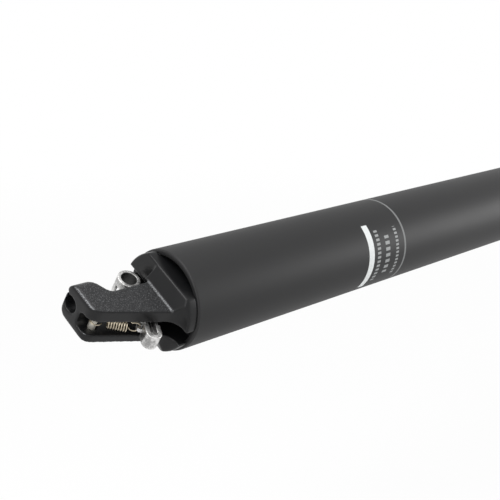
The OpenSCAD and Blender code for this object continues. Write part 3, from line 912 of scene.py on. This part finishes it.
def settle(piece: Piece, finish: Finish, body: Body, node: str) -> None:
    """Coats a piece, lets it ride on its body and stand for its CAD node.

    Args:
        piece: The piece.
        finish: Its finish.
        body: Body that carries it.
        node: CAD node that it stands for.
    """
    PAINT.coat(piece, finish)
    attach(piece, body.value)
    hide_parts(node)
    LOG.info("%s rides on %s with %d faces", piece.name, body.value, len(piece.data.polygons))


# Pieces


@dataclass
class OuterTube:
    """The lower tube that the frame clamps.

    Attributes:
        radius: Outside radius.
        bore: Inside radius.
        neck: Radius of the turned neck.
        rim: Place of the lower rim.
        collar: Place where the neck begins.
        end: Place of the upper end.
        steps: Steps in a full turn.
        rim_round: Rounding of the rim's outer edge.
        rim_steps: Steps across that rounding.
        rim_ease: Bevel of the rim's inner edge.
        ease_steps: Steps across that bevel.
    """

    radius: float = 15.8 * MM
    bore: float = 14.0 * MM
    neck: float = 15.2 * MM
    rim: float = FOOT.rim
    collar: float = 161 * MM
    end: float = 173 * MM
    steps: int = 192
    rim_round: float = 0.7 * MM
    rim_steps: int = 6
    rim_ease: float = 0.4 * MM
    ease_steps: int = 2

    def build(self) -> Piece:
        """Turns the tube.

        Returns:
            The tube's piece.
        """
        shape = Shape.turned([(self.rim, self.bore), (self.rim, self.radius), (self.collar, self.radius),
                              (self.collar, self.neck), (self.end, self.neck), (self.end, self.bore)],
                             self.steps)
        shape.ringed(self.rim, self.radius, self.rim_round, self.rim_steps)
        shape.ringed(self.rim, self.bore, self.rim_ease, self.ease_steps)
        return shape.piece("outer_tube_body")

    def dress(self) -> None:
        """Builds and finishes the tube."""
        settle(self.build(), COATS.tube, Body.LOWER, "outer_tube")


@dataclass
class ActuatorFoot:
    """The forked casting that holds the lever.

    Attributes:
        voxel: Size of the skin's cells.
        passes: Smoothing passes.
    """

    voxel: float = 0.28 * MM
    passes: int = 14

    def build(self) -> Piece:
        """Skins the casting."""
        return skinned("actuator_foot", "actuator_casting", self.voxel, self.passes)

    def dress(self) -> None:
        """Builds and finishes the casting."""
        settle(self.build(), COATS.cast, Body.LOWER, "actuator_foot")


@dataclass
class ReleaseLever:
    """The lever, the pin it turns on and the pin that holds its spring.

    Attributes:
        voxel: Size of the lever's skin cells.
        passes: Smoothing passes.
        pin_ease: Rounding of the pins' ends.
    """

    voxel: float = 0.14 * MM
    passes: int = 5
    pin_ease: float = 0.15 * MM

    def build_lever(self) -> Piece:
        """Skins the lever."""
        return skinned("actuator_lever", "release_lever", self.voxel, self.passes)

    def dress(self) -> None:
        """Builds and finishes the lever and its pins."""
        settle(self.build_lever(), COATS.lever, Body.LEVER, "actuator_lever")
        for node, name, finish in (("lever_pivot_pin", "pivot_pin", COATS.pin),
                                   ("spring_anchor_pin", "anchor_pin", COATS.post)):
            settle(Shape.from_node(node).eased(self.pin_ease).piece(name), finish, Body.LOWER, node)


@dataclass
class ReturnSpring:
    """The wound return spring between the foot and the lever's ear.

    Attributes:
        anchor: Plan point of the anchor pin.
        ear: Plan point of the hole in the lever's ear.
        wire: Radius of the wire.
        coil: Radius of the coil to the middle of the wire.
        turns: Number of turns.
        loop: Radius of the anchor's loop to the middle of the wire.
        ear_loop: Radius of the loop that stands across the lever's ear.
        anchor_pin: Radius of the anchor pin.
        fit: Gap between the anchor's loop and its pin.
        slack: Distance of the wire from the middle of the ear's hole.
        lead: Straight length between the anchor's loop and the coil.
        ear_lead: Length between the coil and the ear's loop.
        hook: Angle of the anchor's loop.
        ear_start: Angle at which the ear's loop begins.
        ear_hook: Angle of the ear's loop.
        turn_steps: Points in a turn.
        point_steps: Steps of the wire from point to point.
        wire_steps: Steps in a quarter of the wire's round, less one.
        crease: Angle, in degrees, above which the wire's ends stay sharp to the eye.
    """

    anchor: Span = (-25 * MM, 0.7 * MM)
    ear: Span = (-13.25 * MM, -6.45 * MM)
    wire: float = 0.2 * MM
    coil: float = 1.8 * MM
    turns: float = 8.15
    loop: float = 1.9 * MM
    ear_loop: float = 1.7 * MM
    anchor_pin: float = 1.2 * MM
    fit: float = 0.05 * MM
    slack: float = 0.1 * MM
    lead: float = 1.3 * MM
    ear_lead: float = 0.4 * MM
    hook: float = math.radians(245)
    ear_start: float = math.radians(130)
    ear_hook: float = math.radians(290)
    turn_steps: int = 28
    point_steps: int = 2
    wire_steps: int = 3
    crease: float = 60.0

    def reach(self) -> float:
        """Distance from the anchor pin to the ear's hole."""
        return math.dist(self.anchor, self.ear)

    def stations(self) -> tuple[float, float, float, float]:
        """Finds where the loops and the coil lie along the spring.

        Returns:
            Centres of the two loops and ends of the coil.
        """
        first = self.loop - self.wire - self.anchor_pin - self.fit
        last = self.reach() - self.slack - self.ear_loop
        return first, last, first + self.loop + self.lead, last - self.ear_loop - self.ear_lead

    def loop_points(self, centre: float, radius: float, start: float, sweep: float,
                    side: Point) -> list[Vector]:
        """Loop at one end of the spring.

        Args:
            centre: Centre of the loop along the spring.
            radius: Its radius.
            start: Angle at which it begins.
            sweep: Angle that it turns back through.
            side: Direction of its plane beside the spring's.

        Returns:
            Middle of the wire in the spring's axes.
        """
        steps = int(self.turn_steps * sweep / math.tau)
        turns = [start - sweep * i / steps for i in range(steps + 1)]
        return [Vector((centre + radius * math.cos(a), 0, 0)) + Vector(side) * (radius * math.sin(a))
                for a in turns]

    def coil_points(self, start: float, end: float) -> list[Vector]:
        """Helix between two stations.

        Args:
            start: Start of the coil along the spring.
            end: End of the coil along the spring.

        Returns:
            Middle of the wire in the spring's axes.
        """
        count = int(self.turn_steps * self.turns)
        points = []
        for i in range(count + 1):
            share = i / count
            angle = math.tau * self.turns * share
            points.append(Vector((start + (end - start) * share, self.coil * math.cos(angle),
                                  self.coil * math.sin(angle))))
        return points

    def matrix(self) -> Matrix:
        """Turns the spring's own axes, from the anchor along the coil, into the post's.

        Returns:
            The matrix.
        """
        run = Vector(self.ear) - Vector(self.anchor)
        turn = Matrix.Rotation(math.atan2(run.y, run.x), 4, "Z")
        return FOOT.matrix() @ Matrix.Translation((*self.anchor, FOOT.gap)) @ turn

    def path(self) -> list[Vector]:
        """Runs the wire from the anchor's loop, flat in the gap, to the ear's loop, upright in it.

        Returns:
            Middle of the wire in the post's axes.
        """
        first, last, start, end = self.stations()
        points = self.loop_points(first, self.loop, math.pi / 2 + self.hook, self.hook, (0, 1, 0))
        points += self.coil_points(start, end)
        points += self.loop_points(last, self.ear_loop, self.ear_start, self.ear_hook, (0, 0, 1))
        return [self.matrix() @ point for point in points]

    def build(self) -> Piece:
        """Draws the wire along its path.

        Returns:
            The spring's mesh piece.
        """
        curve = bpy.data.curves.new("return_coil", "CURVE")
        curve.dimensions = "3D"
        curve.bevel_depth = self.wire
        curve.bevel_resolution = self.wire_steps
        curve.use_fill_caps = True
        points = self.path()
        spline = curve.splines.new("NURBS")
        spline.points.add(len(points) - 1)
        for knot, point in zip(spline.points, points):
            knot.co = (*point, 1.0)
        spline.use_endpoint_u = True
        spline.order_u = 4
        spline.resolution_u = self.point_steps
        drawn = placed("return_coil_path", curve)
        mesh = plain_mesh(drawn)
        bpy.data.objects.remove(drawn)
        return smoothed("return_coil", mesh, self.crease)

    def dress(self) -> None:
        """Builds and finishes the spring between the foot and the lever's ear."""
        spring = self.build()
        PAINT.coat(spring, COATS.spring)
        coil_start = self.stations()[2]
        still, moving = (tuple(self.matrix() @ Vector((x, 0, 0))) for x in (coil_start, self.reach()))
        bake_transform(spring)
        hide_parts("return_spring")
        LOG.info("%s stretches between foot and lever", spring.name)


@dataclass
class SealHead:
    """The collar on top of the outer tube with its wiper.

    Attributes:
        collar_ease: Rounding of the collar's edges.
        wiper_ease: Rounding of the wiper's edges.
    """

    collar_ease: float = 0.3 * MM
    wiper_ease: float = 0.15 * MM

    def dress(self) -> None:
        """Builds and finishes the collar and the wiper."""
        collar = Shape.from_node("seal_collar").eased(self.collar_ease).piece("collar_body")
        settle(collar, COATS.head, Body.LOWER, "seal_collar")
        wiper = Shape.from_node("wiper_seal").eased(self.wiper_ease).piece("wiper_lip")
        settle(wiper, COATS.rubber, Body.LOWER, "wiper_seal")


@dataclass
class SlidingPost:
    """The stanchion and the saddle head on it.

    Attributes:
        ease: Rounding of the stanchion's edges.
        voxel: Size of the head's skin cells.
        passes: Smoothing passes.
    """

    ease: float = 0.2 * MM
    voxel: float = 0.38 * MM
    passes: int = 8

    def build_head(self) -> Piece:
        """Skins the forged head."""
        return skinned("saddle_head", "saddle_forging", self.voxel, self.passes)

    def dress(self) -> None:
        """Builds and finishes the stanchion and the head."""
        tube = Shape.from_node("stanchion").eased(self.ease).piece("stanchion_tube")
        settle(tube, COATS.stanchion, Body.UPPER, "stanchion")
        settle(self.build_head(), COATS.head, Body.UPPER, "saddle_head")


@dataclass
class RailClamp:
    """The jaws that hold the saddle rails, with their bolt, nut and washers.

    Attributes:
        jaw_ease: Rounding of the jaws.
        jaw_steps: Steps across that rounding.
        bolt_ease: Rounding of the fasteners.
    """

    jaw_ease: float = 0.6 * MM
    jaw_steps: int = 3
    bolt_ease: float = 0.3 * MM

    def dress(self) -> None:
        """Builds and finishes the clamp."""
        for place in ("inner", "outer"):
            for side in ("left", "right"):
                node = f"{place}_clamp_{side}"
                jaw = Shape.from_node(node).eased(self.jaw_ease, self.jaw_steps)
                settle(jaw.piece(f"{place}_jaw_{side}"), COATS.head, Body.CLAMP, node)
        for name in ("bolt", "nut", "washers"):
            node = f"clamp_{name}"
            fastener = Shape.from_node(node).eased(self.bolt_ease).piece(f"rail_{name}")
            settle(fastener, COATS.dark_steel, Body.CLAMP, node)


class InnerWorks:
    """CAD nodes that stay as they are, inside the post."""

    ALLOY = ("cartridge_rod", "piston", "cartridge_tube", "cartridge_top_cap")
    STEEL = ("valve_pin", "rod_lock_nut", "cartridge_end_cap", "retaining_ring")
    RUBBER = ("piston_seal", "topout_bumper", "collar_seal_ring", "rod_seal")
    BUSH = ("upper_bushing", "lower_bushing", "cartridge_guide")
    BRASS = ("guide_keys",)

    def dress(self) -> None:
        """Finishes the nodes."""
        groups = ((self.ALLOY, COATS.alloy), (self.STEEL, COATS.pin), (self.RUBBER, COATS.rubber),
                  (self.BUSH, COATS.bush), (self.BRASS, COATS.brass))
        for nodes, finish in groups:
            for node in nodes:
                PAINT.coat(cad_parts[node], finish)
                LOG.info("%s finished as %s", node, finish.name)


# Studio


@dataclass(frozen=True)
class SoftBox:
    """A rectangular studio lamp.

    Attributes:
        name: Name of the lamp.
        place: Where it stands.
        aim: Point that it faces.
        side: Length of its sides.
        power: Power in watts.
    """

    name: str
    place: Point
    aim: Point
    side: float
    power: float

    def build(self) -> None:
        """Adds the lamp."""
        lamp = bpy.data.lights.new(self.name, "AREA")
        lamp.shape = "RECTANGLE"
        lamp.size = lamp.size_y = self.side
        lamp.energy = self.power
        stand = placed(self.name, lamp)
        stand.location = self.place
        stand.rotation_euler = (Vector(self.aim) - Vector(self.place)).to_track_quat("-Z", "Y").to_euler()
        stand.visible_camera = False


@dataclass
class Studio:
    """Camera, floor, lamps and surroundings.

    Attributes:
        eye: Where the camera stands.
        yaw: Turn of the view from +Y towards +X.
        pitch: Dip of the view.
        focal: Focal length in pixels of a 500-pixel frame.
        frame_px: Width of the frame in pixels.
        sensor: Sensor width in millimetres.
        nearest: Nearest distance that the camera sees.
        floor_z: Height of the floor.
        floor_half: Half size of the floor.
        paper: Colour of the floor under the lamps.
        glow: Share of the floor that shows white near the post; the rest keeps the shadow.
        glow_out: Distances from the post between which the floor goes to plain white.
        sky: Strength of the even light from all sides.
        boxes: The lamps.
    """

    eye: Point = (-0.2752834, -0.2033572, 0.0850132)
    yaw: float = 0.8011
    pitch: float = 0.2555
    focal: float = 920.28
    frame_px: float = 500.0
    sensor: float = 36.0
    nearest: float = 0.01
    floor_z: float = -0.16
    floor_half: float = 6.0
    paper: tuple[float, float, float, float] = (0.9, 0.9, 0.9, 1.0)
    glow: float = 0.92
    glow_out: Span = (0.3, 1.2)
    sky: float = 0.5
    boxes: tuple[SoftBox, ...] = (SoftBox("side_box", (1.1, -0.7, 0.1), (-0.05, 0, 0), 0.5, 7.0),
                                  SoftBox("top_box", (-0.35, -0.15, 0.8), (-0.1, 0, 0), 0.6, 6.0),
                                  SoftBox("front_box", (-0.9, -0.35, 0.25), (-0.1, 0, 0), 0.5, 3.0))

    def build_camera(self) -> None:
        """Adds the camera at the photograph's place."""
        ahead = Vector((math.sin(self.yaw) * math.cos(self.pitch),
                        math.cos(self.yaw) * math.cos(self.pitch), -math.sin(self.pitch)))
        right = Vector((math.cos(self.yaw), -math.sin(self.yaw), 0.0))
        turn = Matrix((right, right.cross(ahead), -ahead)).transposed()
        lens = bpy.data.cameras.new("camera")
        lens.sensor_width = self.sensor
        lens.lens = self.focal / self.frame_px * self.sensor
        lens.clip_start = self.nearest
        camera = placed("camera", lens)
        camera.matrix_world = Matrix.Translation(self.eye) @ turn.to_4x4()
        bpy.context.scene.camera = camera

    def seen(self, graph: Graph) -> Value:
        """One for rays from the camera, from gloss and through glass."""
        path = graph.node("ShaderNodeLightPath")
        return path.larger(path.output("Is Glossy Ray")).larger(path.output("Is Transmission Ray"))

    def floor_material(self) -> bpy.types.Material:
        """Builds the floor's material, white where it is seen and paper for the light.

        Returns:
            The finished material.
        """
        material = bpy.data.materials.new("floor")
        graph = Graph(material)
        paper = graph.node("ShaderNodeBsdfDiffuse", None, {"Color": self.paper})
        white = graph.node("ShaderNodeEmission", None, {"Color": WHITE, "Strength": 1.0})
        share = self.seen(graph) * graph.length(graph.place()).ramp(*self.glow_out, self.glow)
        both = graph.node("ShaderNodeMixShader", None, {0: share, 1: paper, 2: white})
        graph.node("ShaderNodeOutputMaterial", None, {"Surface": both})
        return material

    def build_floor(self) -> None:
        """Adds the pale floor, which keeps a soft shadow."""
        sheet = bmesh.new()
        bmesh.ops.create_grid(sheet, x_segments=1, y_segments=1, size=self.floor_half)
        bmesh.ops.translate(sheet, verts=sheet.verts, vec=(0, 0, self.floor_z))
        mesh = bpy.data.meshes.new("floor")
        sheet.to_mesh(mesh)
        sheet.free()
        mesh.materials.append(self.floor_material())
        floor = placed("floor", mesh)

    def build_world(self) -> None:
        """Surrounds the post with even light, white where it is seen."""
        world = bpy.data.worlds.new("studio")
        graph = Graph(world)
        strength = self.seen(graph) * (1.0 - self.sky) + self.sky
        sky = graph.node("ShaderNodeBackground", None, {"Color": WHITE, "Strength": strength})
        graph.node("ShaderNodeOutputWorld", None, {"Surface": sky})
        bpy.context.scene.world = world

    def build(self) -> None:
        """Sets the whole studio up."""
        self.build_camera()
        self.build_floor()
        self.build_world()
        for box in self.boxes:
            box.build()
        bpy.context.scene.view_settings.view_transform = "Standard"


def main() -> None:
    """Builds the studio and every piece."""
    logging.basicConfig(level=logging.INFO, format="%(name)s: %(message)s")
    Studio().build()
    for part in (OuterTube(), ActuatorFoot(), ReleaseLever(), ReturnSpring(), SealHead(), SlidingPost(),
                 RailClamp(), InnerWorks()):
        part.dress()
        LOG.info("%s done", type(part).__name__)


if __name__ == "__main__":
    main()
